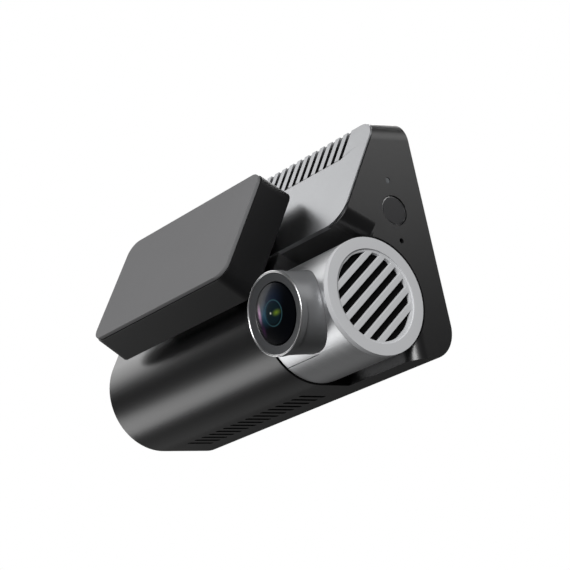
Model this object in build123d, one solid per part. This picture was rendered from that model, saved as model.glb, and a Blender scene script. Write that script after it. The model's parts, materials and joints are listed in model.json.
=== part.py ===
from build123d import *
import math
import os

# Dash camera with a turning lens drum, hung from a windscreen by a stick-on rail mount.
# Millimetres. Worked out about the drum's axis, which is the X axis here, with the drum's
# outer end at x = 0. +X points to the drum's end, -Y to the road, +Y to the driver, +Z up.
# Every piece is then moved so that the origin is the middle of the adhesive pad's face.

# ---- housing ----
body_width = 87.0            # left end to right end
barrel_radius = 13.95        # round front of the housing, about the drum's axis
top_z = 42.4
top_depth = 7.75             # from the slanted front to the back, at the top
windscreen_rake = 35.1       # slanted front, in degrees from upright
underside_slope = 4.0        # degrees down towards the back
back_bottom_radius = 7.5
top_edge_radius = 1.2
top_corner_radius = 5.7      # seen from the front
housing_wall = 1.8
lens_bay_width = 23.4        # open bay that the drum turns in
bay_gap = 0.45               # round the drum
nose_s = 11.6                # where the slanted front ends above the bay, along the slant
nose_back_y = 1.9
rear_wall_front_y = 7.6      # front of the thin screen part beside the drum
bay_edge_radius = 4.0        # of the bay's edges at the right end

# ---- drum ----
drum_radius = 13.6
drum_wall = 1.6
drum_end_gap = 0.3           # between drum and the bay's left wall
notch_gap = 0.1              # round the lens tube in the drum's skin
end_cap_thickness = 1.4
end_cap_rim = 2.7            # width of the raised rim
end_cap_recess = 0.4
end_cap_spigot = 0.85
end_cap_spigot_wall = 1.05
grille_slot_width = 1.75
grille_slot_pitch = 3.1
grille_slot_count = 7
grille_margin = 0.6          # from the slots' ends to the rim
grille_slot_angle = 35.0
mesh_thickness = 0.4
mesh_margin = 0.25           # between the mesh and the end cap's spigot

# ---- lens ----
lens_x = -11.64
tube_radius = 9.2
tube_wall = 1.6
tube_tail = 1.5              # behind the cell's shoulder
lens_front_y = -19.9
ring_overhang = 0.22         # ring beyond the tube
ring_height = 1.7
ring_bore_radius = 7.0
ring_rim = 0.55              # flat front rim, outside the inner slope
ring_land = 1.2              # straight part of the bore, behind the slope
insert_half_height = 9.6     # skin panel on the left of the lens tube
cell_gap = 0.3               # round the cell in the tube
cell_lip = 0.6               # round the front glass
cell_bore_radius = 4.4
cell_neck_radius = 5.6
cell_shoulder_y = -10.0
cell_back_y = -0.6
cell_pocket = 1.0            # depth of the front glass's seat
front_glass_proud = 0.7      # in front of the ring
front_glass_rise = 1.1
front_glass_edge = 2.6
inner_glass_rise = 0.8
inner_glass_edge = 1.5
second_glass_drop = 6.2      # behind the front glass
rear_glass_drop = 5.0        # in front of the cell's back
glass_gap = 0.05
sensor_board_y = 2.2
sensor_board_size = 15.0
board_thickness = 1.2
sensor_size = 7.6
sensor_thickness = 1.1
sensor_pad_inset = 2.0
filter_size = 8.4
filter_thickness = 0.3
filter_gap = 0.1
holder_size = 13.5
holder_length = 5.8
holder_corner_radius = 1.5
sink_plate = 1.2
sink_margin = 1.0            # shorter than the sensor board at each end
sink_gap = 1.0               # from the fins to the drum's inside
sink_screw_gap = 0.3         # from the sink to the pivot's screw heads
sink_fin_count = 5
sink_fin_thickness = 1.0

# ---- drum pivot ----
pivot_radius = 6.0
pivot_wall = 1.6
pivot_running_gap = 0.05
pivot_flange_width = 3.4
pivot_flange = 1.5
pivot_lens_gap = 0.3         # between the flange's flat and the lens tube
pivot_screw_count = 3
pivot_bore_radius = 3.4
bush_wall = 3.2
bush_length = 7.3            # bay wall included
washer_thickness = 0.5
washer_inset = 0.6
washer_gap = 0.15
clip_thickness = 0.9
clip_depth = 0.7
clip_width = 2.9
clip_opening = 3.2
clip_gap = 0.05
pivot_tip = 1.2              # left beyond the clip

# ---- silver vent cover ----
cover_thickness = 1.0
cover_proud = 0.45           # beyond the slanted front
cover_side_inset = 0.3
cover_corner_radius = 5.4
vent_pitch = 2.95
vent_width = 1.35
vent_count = 24
vent_low_s = 33.6
vent_cut_depth = 2.4         # into the housing, below its slanted front
underside_vent_count = 16
underside_vent_pitch = 3.02
underside_vent_width = 1.3
underside_vent_first_x = -33.2
underside_vent_front_y = 0.6
underside_vent_back_y = 8.3
underside_vent_spare = 1.2   # cut above the wall

# ---- windscreen mount ----
mount_left_x = -77.2
mount_right_x = -22.0
mount_low_s = -3.1
mount_high_s = 27.4
mount_back_n = 16.8          # distance from the drum's axis, square to the slant
mount_depth = 8.4
mount_corner_radius = 3.8
mount_draft = 0.3            # wider at its back
mount_wall = 1.6
mount_floor = 1.0            # between the channel and the tray
mount_lid_thickness = 1.2
mount_lid_gap = 0.1
pad_thickness = 1.0
pad_inset = 0.25
rail_low_s = 3.2
rail_length = 20.0
rail_foot_thickness = 0.9
rail_foot_overhang = 5.0
rail_foot_length = 2.0       # beyond the neck, at each end
rail_foot_radius = 2.0
rail_neck_width = 20.0
rail_head_width = 28.0
rail_head_thickness = 1.9
rail_head_radius = 1.5
rail_play = 0.3
rail_stop_gap = 0.05
channel_lip = 1.5
rail_screw_spacing = 12.0
rail_screw_sink = 0.2
mount_post_radius = 2.0
mount_post_inset = 5.0
mount_screw_length = 3.2
mount_screw_head = 0.65
mount_screw_sink = 0.05

# ---- screen side ----
rear_cover_gap = 0.12
rear_opening_low_z = -7.4
rear_opening_radius = 3.4
screen_side_margin = 6.0
screen_top_margin = 3.2
screen_low_z = 0.6
screen_radius = 2.0
screen_thickness = 1.1
screen_gap = 0.1
display_inset = 2.6
display_thickness = 2.4
display_tray_thickness = 0.5
hook_spacing = 48.0
hook_width = 8.0
hook_length = 2.2
hook_thickness = 1.0
button_count = 4
button_end_margin = 11.0     # from the left end to the first button's middle
button_pitch = 13.8
button_z = -3.8
button_width = 8.4
button_height = 3.4
button_proud = 0.5
button_gap = 0.15
button_flange = 0.7
button_flange_overhang = 0.45
button_travel = 0.3
button_end_flat = 0.2        # straight part of a button's round end

# ---- right end ----
side_feature_y = 11.3
power_button_z = 19.8
power_button_radius = 3.47
power_button_recess = 0.25
power_button_depth = 2.6
power_button_gap = 0.12
power_button_flange = 0.7
power_button_flange_overhang = 0.6
power_button_travel = 0.35
status_light_z = 27.0
status_light_radius = 0.7
status_light_recess = 0.15
status_light_gap = 0.02
status_light_lamp = 0.9      # height of the lamp behind the light guide
microphone_bay_gap = 0.08    # above the bay's wall
microphone_hole_radius = 0.6
microphone_radius = 1.0
microphone_gap = 1.2         # behind the end wall
side_board_depth = 4.5       # behind the end wall
side_board_low_z = 10.8
side_board_high_z = 30.0
side_board_width = 6.4
side_board_gap = 0.2         # to the bay's wall

# ---- left end ----
port_y = 10.9                # middle of the sockets
port_gap = 0.15
power_port_z = 4.6
rear_camera_port_z = 26.8
port_width = 9.0
port_height = 3.2
port_depth = 7.4
port_recess = 0.4
port_wall = 0.35
port_end_flat = 0.2
port_tongue_thickness = 0.7
port_tongue_width = 6.2
port_tongue_recess = 0.6
port_foot_width = 6.8
port_foot_recess = 2.4
card_z = 15.6
card_width = 11.0
card_length = 15.0
card_thickness = 0.9
card_recess = 0.3
card_gap = 0.2
card_stop_gap = 0.3
card_socket_wall = 0.6
card_socket_back = 1.3
card_socket_gap = 0.1        # between the socket and the end wall

# ---- electronics in the housing ----
board_front_y = 12.6
board_low_z = -6.4
board_high_z = 34.0
board_end_gap = 1.2
processor_size = 14.0
processor_height = 1.3
processor_x = -43.0
processor_z = 13.0
thermal_pad_thickness = 0.8
spreader_thickness = 1.5
spreader_size = 18.0
satellite_size = 16.0
satellite_height = 4.0
satellite_x = -61.5
satellite_z = 19.0
capacitor_radius = 4.9
capacitor_length = 25.0
capacitor_right_x = -35.0
capacitor_centres = [(-5.6, 3.4), (4.3, -5.4)]
speaker_x = -77.6
speaker_y = 3.6
speaker_radius = 6.3
speaker_depth = 3.6
speaker_rim = 1.2
speaker_dish = 0.5
speaker_gap = 1.7            # above the underside's wall
wireless_width = 12.0
wireless_height = 10.0
wireless_thickness = 2.2
wireless_from_left = 46.5     # between two board screws
wireless_z = 27.6
flex_thickness = 0.3
flex_width = 5.0
flex_end_gap = 0.3
flex_tail = 6.0              # left beyond the pivot's clip
display_flex_width = 16.0
display_flex_rise = 4.0      # above the screen's low edge
display_flex_gap = 0.1
switch_size = 4.4
switch_plunger_radius = 1.0
switch_plunger_height = 0.6
switch_gap = 0.1

# ---- screws ----
screw_radius = 0.95
screw_head_radius = 1.75
screw_head_height = 1.1
screw_pilot_gap = 0.03
screw_hole_gap = 0.15
screw_head_gap = 0.2
screw_end_gap = 0.3
drive_length = 1.9           # cross recess
drive_width = 0.5
drive_depth = 0.45
boss_radius = 2.1
boss_gap = 0.4
board_screw_places = [(25.0, 31.0), (56.5, 31.0), (18.0, -3.6)]     # from the left end
board_screw_length = 4.0
rear_screw_low_z = -4.0
rear_screw_length = 6.0
rear_boss_front_y = 10.7
rear_boss_rib = 1.6          # joins the boss to the wall beside it

seat_gap = 0.05              # between pieces that are put together by hand
spare = 1.0                  # how far a cutting shape runs past what it cuts
far = 60.0                   # beyond the whole object

# ---- worked out from the sizes above ----
rake = math.radians(windscreen_rake)
slope = math.radians(underside_slope)
slant_up = Vector(0, math.sin(rake), math.cos(rake))
slant_out = Vector(0, -math.cos(rake), math.sin(rake))
slant_plane = Plane(origin=(0, 0, 0), x_dir=(1, 0, 0), z_dir=slant_out)
top_front_y = (top_z * math.sin(rake) - barrel_radius) / math.cos(rake)
back_y = top_front_y + top_depth
left_x = -body_width
bay_x = -lens_bay_width
bay_radius = drum_radius + bay_gap
inner_left_x = left_x + housing_wall
inner_right_x = -housing_wall
bay_wall_x = bay_x - housing_wall
cover_face_n = barrel_radius + cover_proud
rear_cover_y = back_y - housing_wall

mount_front_n = mount_back_n + mount_depth
mount_mid_x = (mount_left_x + mount_right_x) / 2
mount_mid_s = (mount_low_s + mount_high_s) / 2
rail_foot_n = cover_face_n + rail_foot_thickness
rail_neck_n = mount_back_n + channel_lip + rail_play
rail_head_n = rail_neck_n + rail_head_thickness
rail_high_s = rail_low_s + rail_length
rail_mid_s = (rail_low_s + rail_high_s) / 2
channel_n = rail_head_n + rail_play
origin = slant_up * mount_mid_s + slant_out * (mount_front_n + pad_thickness)
origin += Vector(mount_mid_x, 0, 0)

screen_left_x = left_x + screen_side_margin
screen_right_x = -screen_side_margin
screen_high_z = top_z - screen_top_margin
screen_seat_y = back_y - screen_thickness - screen_gap
display_front_y = screen_seat_y - display_thickness
display_tray_y = display_front_y - display_tray_thickness
button_first_x = left_x + button_end_margin

board_back_y = board_front_y + board_thickness
board_left_x = inner_left_x + board_end_gap
board_right_x = bay_wall_x - board_end_gap
side_board_x = inner_right_x - side_board_depth
microphone_reach = bay_radius + housing_wall + microphone_bay_gap + microphone_radius
microphone_z = math.sqrt(microphone_reach ** 2 - side_feature_y ** 2)
processor_front_y = board_front_y - processor_height
processor_pad_y = processor_front_y - thermal_pad_thickness

drum_left_x = bay_x + drum_end_gap
drum_inner_radius = drum_radius - drum_wall
pivot_seat_x = drum_left_x + drum_wall
pivot_screw_seat_x = pivot_seat_x + pivot_flange
pivot_flange_radius = pivot_radius + pivot_flange_width
pivot_neck_radius = pivot_radius - pivot_wall
pivot_screw_radius = pivot_radius + pivot_flange_width / 2
bush_radius = pivot_radius + bush_wall
bush_left_x = bay_x - bush_length
clip_right_x = bush_left_x - washer_thickness - 2 * clip_gap
clip_left_x = clip_right_x - clip_thickness
clip_bore_radius = pivot_radius - clip_depth

tube_front_y = lens_front_y + ring_height
tube_back_y = cell_shoulder_y + tube_tail
ring_radius = tube_radius + ring_overhang
cell_radius = tube_radius - tube_wall - cell_gap
cell_front_y = tube_front_y + cell_gap
glass_radius = cell_radius - cell_lip
front_glass_y = lens_front_y - front_glass_proud
sensor_front_y = sensor_board_y - sensor_thickness
sensor_back_y = sensor_board_y + board_thickness
sink_front_y = sensor_back_y + thermal_pad_thickness


def slant_y(z, n):
    """Y of a line along the slanted front at height z, at a distance n from the drum's axis."""
    return (z * math.sin(rake) - n) / math.cos(rake)


def block(x0, x1, y0, y1, z0, z1):
    """A box between two corners."""
    box = Box(x1 - x0, y1 - y0, z1 - z0)
    return Pos((x0 + x1) / 2, (y0 + y1) / 2, (z0 + z1) / 2) * box


def square_y(x, z, size, y0, y1):
    """A square block about a line along Y."""
    half = size / 2
    return block(x - half, x + half, y0, y1, z - half, z + half)


def rod_x(radius, x0, x1, y=0.0, z=0.0):
    """A round bar along X."""
    turn = Rot(0, 90, 0)
    return Pos((x0 + x1) / 2, y, z) * turn * Cylinder(radius, abs(x1 - x0))


def rod_y(radius, y0, y1, x=0.0, z=0.0):
    """A round bar along Y."""
    turn = Rot(90, 0, 0)
    return Pos(x, (y0 + y1) / 2, z) * turn * Cylinder(radius, abs(y1 - y0))


def rod_z(radius, z0, z1, x=0.0, y=0.0):
    """A round bar along Z."""
    return Pos(x, y, (z0 + z1) / 2) * Cylinder(radius, abs(z1 - z0))


def plate_y(x0, x1, z0, z1, y0, y1, corner):
    """A plate square to Y with rounded corners."""
    outline = RectangleRounded(x1 - x0, z1 - z0, corner)
    turn = Rot(90, 0, 0)
    return Pos((x0 + x1) / 2, y1, (z0 + z1) / 2) * turn * extrude(outline, y1 - y0)


def on_slant(shape, x, s, n):
    """Put a shape on the slanted front: x across, s up the slant, n out of it."""
    return slant_plane.location * Pos(x, s, n) * shape


def slant_block(x0, x1, s0, s1, n0, n1):
    """A box whose sides follow the slanted front."""
    box = Box(x1 - x0, s1 - s0, n1 - n0)
    return on_slant(box, (x0 + x1) / 2, (s0 + s1) / 2, (n0 + n1) / 2)


def slant_plate(x0, x1, s0, s1, n0, n1, corner):
    """A plate on the slanted front with rounded corners."""
    outline = RectangleRounded(x1 - x0, s1 - s0, corner)
    return on_slant(extrude(outline, n1 - n0), (x0 + x1) / 2, (s0 + s1) / 2, n0)


def slant_rod(radius, x, s, n0, n1):
    """A round bar square to the slanted front."""
    return on_slant(Cylinder(radius, n1 - n0), x, s, (n0 + n1) / 2)


def across(face, x0, x1):
    """Pull a side view out along X."""
    return extrude(Plane.YZ.offset(x0) * face, x1 - x0, dir=(1, 0, 0))


def cross_recess():
    """The cutter of a screw's cross recess, along Z."""
    depth = 2 * drive_depth
    return Box(drive_length, drive_width, depth) + Box(drive_width, drive_length, depth)


def screw_y(x, z, seat_y, length):
    """A pan-head screw along Y that is driven from the back; its head stands on seat_y."""
    top_y = seat_y + screw_head_height
    head = rod_y(screw_head_radius, seat_y, top_y, x, z)
    shank = rod_y(screw_radius, seat_y - length, seat_y, x, z)
    return head + shank - Pos(x, top_y, z) * Rot(90, 0, 0) * cross_recess()


# ---- side outline of the housing ----
foot_y = -barrel_radius * math.sin(slope)
foot_z = -barrel_radius * math.cos(slope)
round_centre_y = back_y - back_bottom_radius
low_y = round_centre_y - back_bottom_radius * math.sin(slope)
low_z = foot_z - (low_y - foot_y) * math.tan(slope)
round_centre_z = low_z + back_bottom_radius * math.cos(slope)
shoulder = slant_out * barrel_radius
nose = slant_up * nose_s + shoulder
nose_under_z = math.sqrt(bay_radius ** 2 - nose_back_y ** 2)


def housing_outline():
    """Side view of the housing, round front and slanted face included."""
    front_turn = (2.5 * math.pi - slope - rake) / 2
    front_mid = (barrel_radius * math.cos(front_turn), barrel_radius * math.sin(front_turn))
    back_turn = -math.pi / 4 - slope / 2
    back_mid_y = round_centre_y + back_bottom_radius * math.cos(back_turn)
    back_mid_z = round_centre_z + back_bottom_radius * math.sin(back_turn)
    front = ThreePointArc((shoulder.Y, shoulder.Z), front_mid, (foot_y, foot_z))
    under = Line((foot_y, foot_z), (low_y, low_z))
    turn = ThreePointArc((low_y, low_z), (back_mid_y, back_mid_z), (back_y, round_centre_z))
    back = Line((back_y, round_centre_z), (back_y, top_z))
    top = Line((back_y, top_z), (top_front_y, top_z))
    slant = Line((top_front_y, top_z), (shoulder.Y, shoulder.Z))
    face = make_face(front + under + turn + back + top + slant)
    top_points = face.vertices().group_by(Axis.Y)[-1]
    return fillet(top_points, top_edge_radius)


def bay_outline():
    """Side view of what is cut away for the drum and in front of the screen part."""
    points = [
        (nose.Y, nose.Z),
        (-far, nose.Z + far / 2),
        (-far, -far),
        (rear_wall_front_y, -far),
        (rear_wall_front_y, 0),
        (nose_back_y, nose_under_z),
    ]
    return Polygon(*points, align=None) + Circle(bay_radius)


def front_frame(inset):
    """Front view of the housing, its two top corners rounded, pulled through in Y."""
    frame = block(left_x + inset, -inset, -far, far, -far, top_z - inset)
    top_edges = frame.edges().filter_by(Axis.Y).group_by(Axis.Z)[-1]
    return fillet(top_edges, top_corner_radius - inset)


outline = housing_outline()
inner_outline = offset(outline, -housing_wall, kind=Kind.INTERSECTION)
bay = bay_outline()
inner_bay = offset(bay, housing_wall)
outer_frame = front_frame(0)
hollow = across(inner_outline, inner_left_x, inner_right_x) & front_frame(housing_wall)
cavity = hollow - across(inner_bay, bay_wall_x, spare)


def edge_rounding(low_z, high_z):
    """What rounds an upright edge at the right end of a face at y = 0 that looks along -Y."""
    radius = bay_edge_radius
    corner = block(-radius, spare, -spare, radius, low_z, high_z)
    return corner - rod_z(radius, low_z, high_z, -radius, radius)


def outer_form():
    """The housing's outside, with the bay cut out and its edges at the right end rounded."""
    form = across(outline, left_x, 0) & outer_frame
    form -= across(bay, bay_x, spare)
    form -= Pos(0, rear_wall_front_y, 0) * edge_rounding(-far, 0)
    fall = nose.Z - nose_under_z
    run = nose_back_y - nose.Y
    tilt = 90 - math.degrees(math.atan2(fall, run))
    nose_edge = edge_rounding(-math.hypot(fall, run) - spare, far / 10)
    return form - Pos(0, nose.Y, nose.Z) * Rot(tilt, 0, 0) * nose_edge


def vent_slots(n0):
    """Comb of slots from the slanted front over the top edge, cut down to n0."""
    high_s = top_z / math.cos(rake) + far
    n1 = cover_face_n + spare
    half = vent_width / 2
    slots = []
    for k in range(vent_count):
        x = left_x / 2 + (k - (vent_count - 1) / 2) * vent_pitch
        slot = slant_block(x - half, x + half, vent_low_s, high_s, n0, n1)
        slots.append(slot + slant_rod(half, x, vent_low_s, n0, n1))
    return slots


def underside_slots():
    """Row of slots along Y through the underside."""
    half = underside_vent_width / 2
    front = underside_vent_front_y + half
    back = underside_vent_back_y - half
    high_z = foot_z + housing_wall + underside_vent_spare
    slots = []
    for k in range(underside_vent_count):
        x = underside_vent_first_x - k * underside_vent_pitch
        slot = block(x - half, x + half, front, back, low_z - spare, high_z)
        for y in (front, back):
            slot += rod_z(half, low_z - spare, high_z, x, y)
        slots.append(slot)
    return slots


def rear_opening(gap):
    """The opening in the back that the rear cover fills, smaller by a gap."""
    return plate_y(
        inner_left_x + gap,
        inner_right_x - gap,
        rear_opening_low_z + gap,
        top_z - housing_wall - gap,
        rear_cover_y,
        back_y,
        rear_opening_radius,
    )


def cover_sheet():
    """Silver sheet on the slanted front, from the nose over to the top edge."""
    high_s = (top_z - cover_face_n * math.sin(rake)) / math.cos(rake)
    return slant_plate(
        left_x + cover_side_inset,
        -cover_side_inset,
        nose_s,
        high_s,
        cover_face_n - cover_thickness,
        cover_face_n,
        cover_corner_radius,
    )


def port_bar(gap, x0, x1, z):
    """Rounded bar the shape of a USB-C socket, along X."""
    width = port_width + 2 * gap
    height = port_height + 2 * gap
    corner = (height - port_end_flat) / 2
    shape = RectangleRounded(height, width, corner)
    return extrude(Plane.YZ.offset(x0) * Pos(port_y, z) * shape, x1 - x0)


def card_bar(gap, x0, x1):
    """The memory card's section, along X."""
    half_y = card_thickness / 2 + gap
    half_z = card_width / 2 + gap
    return block(x0, x1, port_y - half_y, port_y + half_y, card_z - half_z, card_z + half_z)


def button_bar(k, gap, y0, y1):
    """One rear button's outline, pulled along Y."""
    x = button_first_x + k * button_pitch
    half_x = button_width / 2 + gap
    half_z = button_height / 2 + gap
    corner = (button_height - button_end_flat) / 2
    return plate_y(x - half_x, x + half_x, button_z - half_z, button_z + half_z, y0, y1, corner)


rail_screw_places = []
for side in (-1, 1):
    rail_screw_places.append((mount_mid_x + side * rail_screw_spacing / 2, rail_mid_s))
mount_screw_places = []
for edge_x in (mount_left_x + mount_post_inset, mount_right_x - mount_post_inset):
    for edge_s in (mount_low_s + mount_post_inset, mount_high_s - mount_post_inset):
        mount_screw_places.append((edge_x, edge_s))
board_screw_points = [(left_x + x, z) for x, z in board_screw_places]
rear_screw_places = [
    (inner_left_x + boss_radius, rear_screw_low_z),
    (bay_wall_x - boss_radius, rear_screw_low_z),
]
pivot_screw_places = []
for k in range(pivot_screw_count):
    turn = 2 * math.pi * k / pivot_screw_count
    pivot_screw_places.append((pivot_screw_radius * math.cos(turn), pivot_screw_radius * math.sin(turn)))


def main_housing():
    """Black shell that holds everything but the drum and the back."""
    shell = outer_form() - cavity
    shell += rod_x(bush_radius, bush_left_x, bay_x)
    for x, z in board_screw_points:
        shell += rod_y(boss_radius, -barrel_radius, board_front_y, x, z) & cavity
    for x, z in rear_screw_places:
        boss = rod_y(boss_radius, rear_boss_front_y, rear_cover_y, x, z)
        half = rear_boss_rib / 2
        low = rear_boss_front_y
        boss += block(x - boss_radius, x + boss_radius, low, rear_cover_y, z - half, z + half)
        shell += boss & cavity
    shell -= rod_x(pivot_radius + pivot_running_gap, bush_left_x - spare, bay_x + spare)
    shell -= rear_opening(0)
    shell -= cover_sheet()
    for slot in vent_slots(barrel_radius - vent_cut_depth):
        shell -= slot
    for slot in underside_slots():
        shell -= slot
    pilot_radius = screw_radius + screw_pilot_gap
    for x, z in board_screw_points:
        shell -= rod_y(pilot_radius, board_front_y - board_screw_length, board_front_y + spare, x, z)
    for x, z in rear_screw_places:
        shell -= rod_y(pilot_radius, rear_cover_y - rear_screw_length, back_y, x, z)
    for x, s in rail_screw_places:
        shell -= slant_rod(pilot_radius, x, s, barrel_radius - housing_wall - spare, cover_face_n)
    button_hole = power_button_radius + power_button_gap
    light_hole = status_light_radius + status_light_gap
    wall_in = inner_right_x - spare
    shell -= rod_x(button_hole, wall_in, spare, side_feature_y, power_button_z)
    shell -= rod_x(light_hole, wall_in, spare, side_feature_y, status_light_z)
    shell -= rod_x(microphone_hole_radius, wall_in, spare, side_feature_y, microphone_z)
    for z in (power_port_z, rear_camera_port_z):
        shell -= port_bar(port_gap, left_x - spare, inner_left_x + spare, z)
    return shell - card_bar(card_gap, left_x - spare, inner_left_x + spare)


def rear_cover():
    """Back plate with the screen's seat and window and the button holes."""
    gap = screen_gap
    plate = rear_opening(rear_cover_gap)
    plate -= plate_y(
        screen_left_x - gap,
        screen_right_x + gap,
        screen_low_z - gap,
        screen_high_z + gap,
        screen_seat_y,
        back_y + spare,
        screen_radius + gap,
    )
    plate -= block(
        screen_left_x + display_inset - gap,
        screen_right_x - display_inset + gap,
        rear_cover_y - spare,
        back_y,
        screen_low_z + display_inset - gap,
        screen_high_z - display_inset + gap,
    )
    for k in range(button_count):
        plate -= button_bar(k, button_gap, rear_cover_y - spare, back_y + spare)
    for x, z in rear_screw_places:
        plate -= rod_y(screw_radius + screw_hole_gap, rear_cover_y - spare, back_y, x, z)
        head_hole = screw_head_radius + screw_hole_gap
        plate -= rod_y(head_hole, back_y - screw_head_height, back_y + spare, x, z)
    hook_high = top_z - housing_wall - rear_cover_gap
    for side in (-1, 1):
        x = (left_x + side * hook_spacing) / 2
        plate += block(
            x - hook_width / 2,
            x + hook_width / 2,
            rear_cover_y - hook_length,
            rear_cover_y,
            hook_high - hook_thickness,
            hook_high,
        )
    return plate


def rear_button(k):
    """Button with a flange that keeps it behind the rear cover."""
    flange_y = rear_cover_y - seat_gap
    flange = button_bar(k, button_flange_overhang, flange_y - button_flange, flange_y)
    return flange + button_bar(k, 0, flange_y - button_flange, back_y + button_proud)


def screen_part(inset, y0, y1):
    """A block behind the screen glass, square-cornered."""
    x0 = screen_left_x + inset
    x1 = screen_right_x - inset
    return block(x0, x1, y0, y1, screen_low_z + inset, screen_high_z - inset)


def screen_glass():
    """Glass over the display, flush with the back."""
    return plate_y(
        screen_left_x,
        screen_right_x,
        screen_low_z,
        screen_high_z,
        back_y - screen_thickness,
        back_y,
        screen_radius,
    )


def vent_cover():
    """The silver sheet with its slots and the holes for the rail's screws."""
    sheet = cover_sheet() & outer_frame
    for slot in vent_slots(barrel_radius - vent_cut_depth):
        sheet -= slot
    for x, s in rail_screw_places:
        sheet -= slant_rod(screw_radius + screw_hole_gap, x, s, barrel_radius - spare, cover_face_n + spare)
    return sheet


def rail_bar(half_width, n0, n1, corner, longer):
    """One step of the rail's T section, as a plate on the slanted front."""
    x0 = mount_mid_x - half_width
    x1 = mount_mid_x + half_width
    return slant_plate(x0, x1, rail_low_s - longer, rail_high_s + longer, n0, n1, corner)


def mount_rail():
    """T rail screwed to the slanted front, which the mount's channel holds."""
    half_neck = rail_neck_width / 2
    half_foot = half_neck + rail_foot_overhang
    rail = rail_bar(half_foot, cover_face_n, rail_foot_n, rail_foot_radius, rail_foot_length)
    rail += slant_block(
        mount_mid_x - half_neck, mount_mid_x + half_neck, rail_low_s, rail_high_s, rail_foot_n, rail_neck_n
    )
    rail += rail_bar(rail_head_width / 2, rail_neck_n, rail_head_n, rail_head_radius, 0)
    seat_n = rail_head_n - screw_head_height - rail_screw_sink
    for x, s in rail_screw_places:
        rail -= slant_rod(screw_radius + screw_hole_gap, x, s, cover_face_n - spare, rail_head_n)
        rail -= slant_rod(screw_head_radius + screw_head_gap, x, s, seat_n, rail_head_n + spare)
    return rail


def rail_screws():
    """Two screws through the rail into the housing."""
    seat_n = rail_head_n - screw_head_height - rail_screw_sink
    top_n = seat_n + screw_head_height
    screws = []
    for x, s in rail_screw_places:
        screw = slant_rod(screw_head_radius, x, s, seat_n, top_n)
        screw += slant_rod(screw_radius, x, s, barrel_radius - housing_wall, seat_n)
        screws.append(screw - on_slant(cross_recess(), x, s, top_n))
    return Compound(children=screws)


def channel_step(half_width, n0, n1):
    """One step of the mount's channel, open at the top."""
    x0 = mount_mid_x - half_width
    x1 = mount_mid_x + half_width
    return slant_block(x0, x1, rail_low_s - rail_stop_gap, mount_high_s + far, n0, n1)


def mount_block():
    """Windscreen mount's body: a shallow tray with a T channel in its back, open at the top."""
    width = mount_right_x - mount_left_x
    height = mount_high_s - mount_low_s
    wider = 2 * mount_draft
    back = RectangleRounded(width + wider, height + wider, mount_corner_radius)
    front = RectangleRounded(width, height, mount_corner_radius)
    body = on_slant(loft([back, Pos(0, 0, mount_depth) * front]), mount_mid_x, mount_mid_s, mount_back_n)
    lip_n = mount_back_n + channel_lip
    body -= channel_step(rail_neck_width / 2 + rail_play, mount_back_n - spare, lip_n + seat_gap)
    body -= channel_step(rail_head_width / 2 + rail_play, lip_n, channel_n)
    body -= slant_plate(
        mount_left_x + mount_wall,
        mount_right_x - mount_wall,
        mount_low_s + mount_wall,
        mount_high_s - mount_wall,
        channel_n + mount_floor,
        mount_front_n + spare,
        mount_corner_radius - mount_wall,
    )
    post_n = mount_front_n - mount_lid_thickness
    for x, s in mount_screw_places:
        body += slant_rod(mount_post_radius, x, s, channel_n, post_n)
    for x, s in mount_screw_places:
        body -= slant_rod(screw_radius + screw_pilot_gap, x, s, post_n - mount_screw_length, post_n + spare)
    return body


def mount_lid():
    """Lid let into the front of the mount; the pad sticks to it."""
    inset = mount_wall + mount_lid_gap
    lid = slant_plate(
        mount_left_x + inset,
        mount_right_x - inset,
        mount_low_s + inset,
        mount_high_s - inset,
        mount_front_n - mount_lid_thickness,
        mount_front_n,
        mount_corner_radius - inset,
    )
    seat_n = mount_front_n - mount_screw_head - mount_screw_sink
    for x, s in mount_screw_places:
        lid -= slant_rod(screw_radius + screw_hole_gap, x, s, seat_n - spare, seat_n)
        lid -= slant_rod(screw_head_radius + screw_hole_gap, x, s, seat_n, mount_front_n + spare)
    return lid


def mount_screws():
    """Four flat-head screws that hold the lid."""
    seat_n = mount_front_n - mount_screw_head - mount_screw_sink
    screws = []
    for x, s in mount_screw_places:
        head = slant_rod(screw_head_radius, x, s, seat_n, seat_n + mount_screw_head)
        screws.append(head + slant_rod(screw_radius, x, s, seat_n - mount_screw_length, seat_n))
    return Compound(children=screws)


def adhesive_pad():
    """Stick-on foam pad on the mount's face."""
    return slant_plate(
        mount_left_x + pad_inset,
        mount_right_x - pad_inset,
        mount_low_s + pad_inset,
        mount_high_s - pad_inset,
        mount_front_n,
        mount_front_n + pad_thickness,
        mount_corner_radius - pad_inset,
    )


# ---- drum ----
def lens_notch(gap):
    """What the lens tube and its skin panel take out of the drum's skin."""
    half = insert_half_height + gap
    tube = rod_y(tube_radius + gap, -far, 0, lens_x)
    return tube + block(drum_left_x - spare, lens_x, -far, 0, -half, half)


def drum_shell():
    """Turning drum: a tube closed at its left end, notched for the lens."""
    shell = rod_x(drum_radius, drum_left_x, -end_cap_thickness)
    shell -= rod_x(drum_inner_radius, pivot_seat_x, spare)
    shell -= lens_notch(notch_gap) - rod_x(drum_inner_radius, drum_left_x - spare, pivot_seat_x)
    shell -= rod_x(pivot_neck_radius, drum_left_x - spare, pivot_seat_x + spare)
    for y, z in pivot_screw_places:
        shell -= rod_x(screw_radius + screw_pilot_gap, drum_left_x - spare, pivot_seat_x + spare, y, z)
    return shell


def drum_panel():
    """Skin panel between the drum's left end and the lens tube."""
    half = insert_half_height
    skin = rod_x(drum_radius, drum_left_x, lens_x)
    skin -= rod_x(drum_inner_radius + seat_gap, drum_left_x - spare, spare)
    skin &= block(drum_left_x, lens_x, -far, 0, -half, half)
    return skin - rod_y(tube_radius + seat_gap, -far, 0, lens_x)


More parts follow.
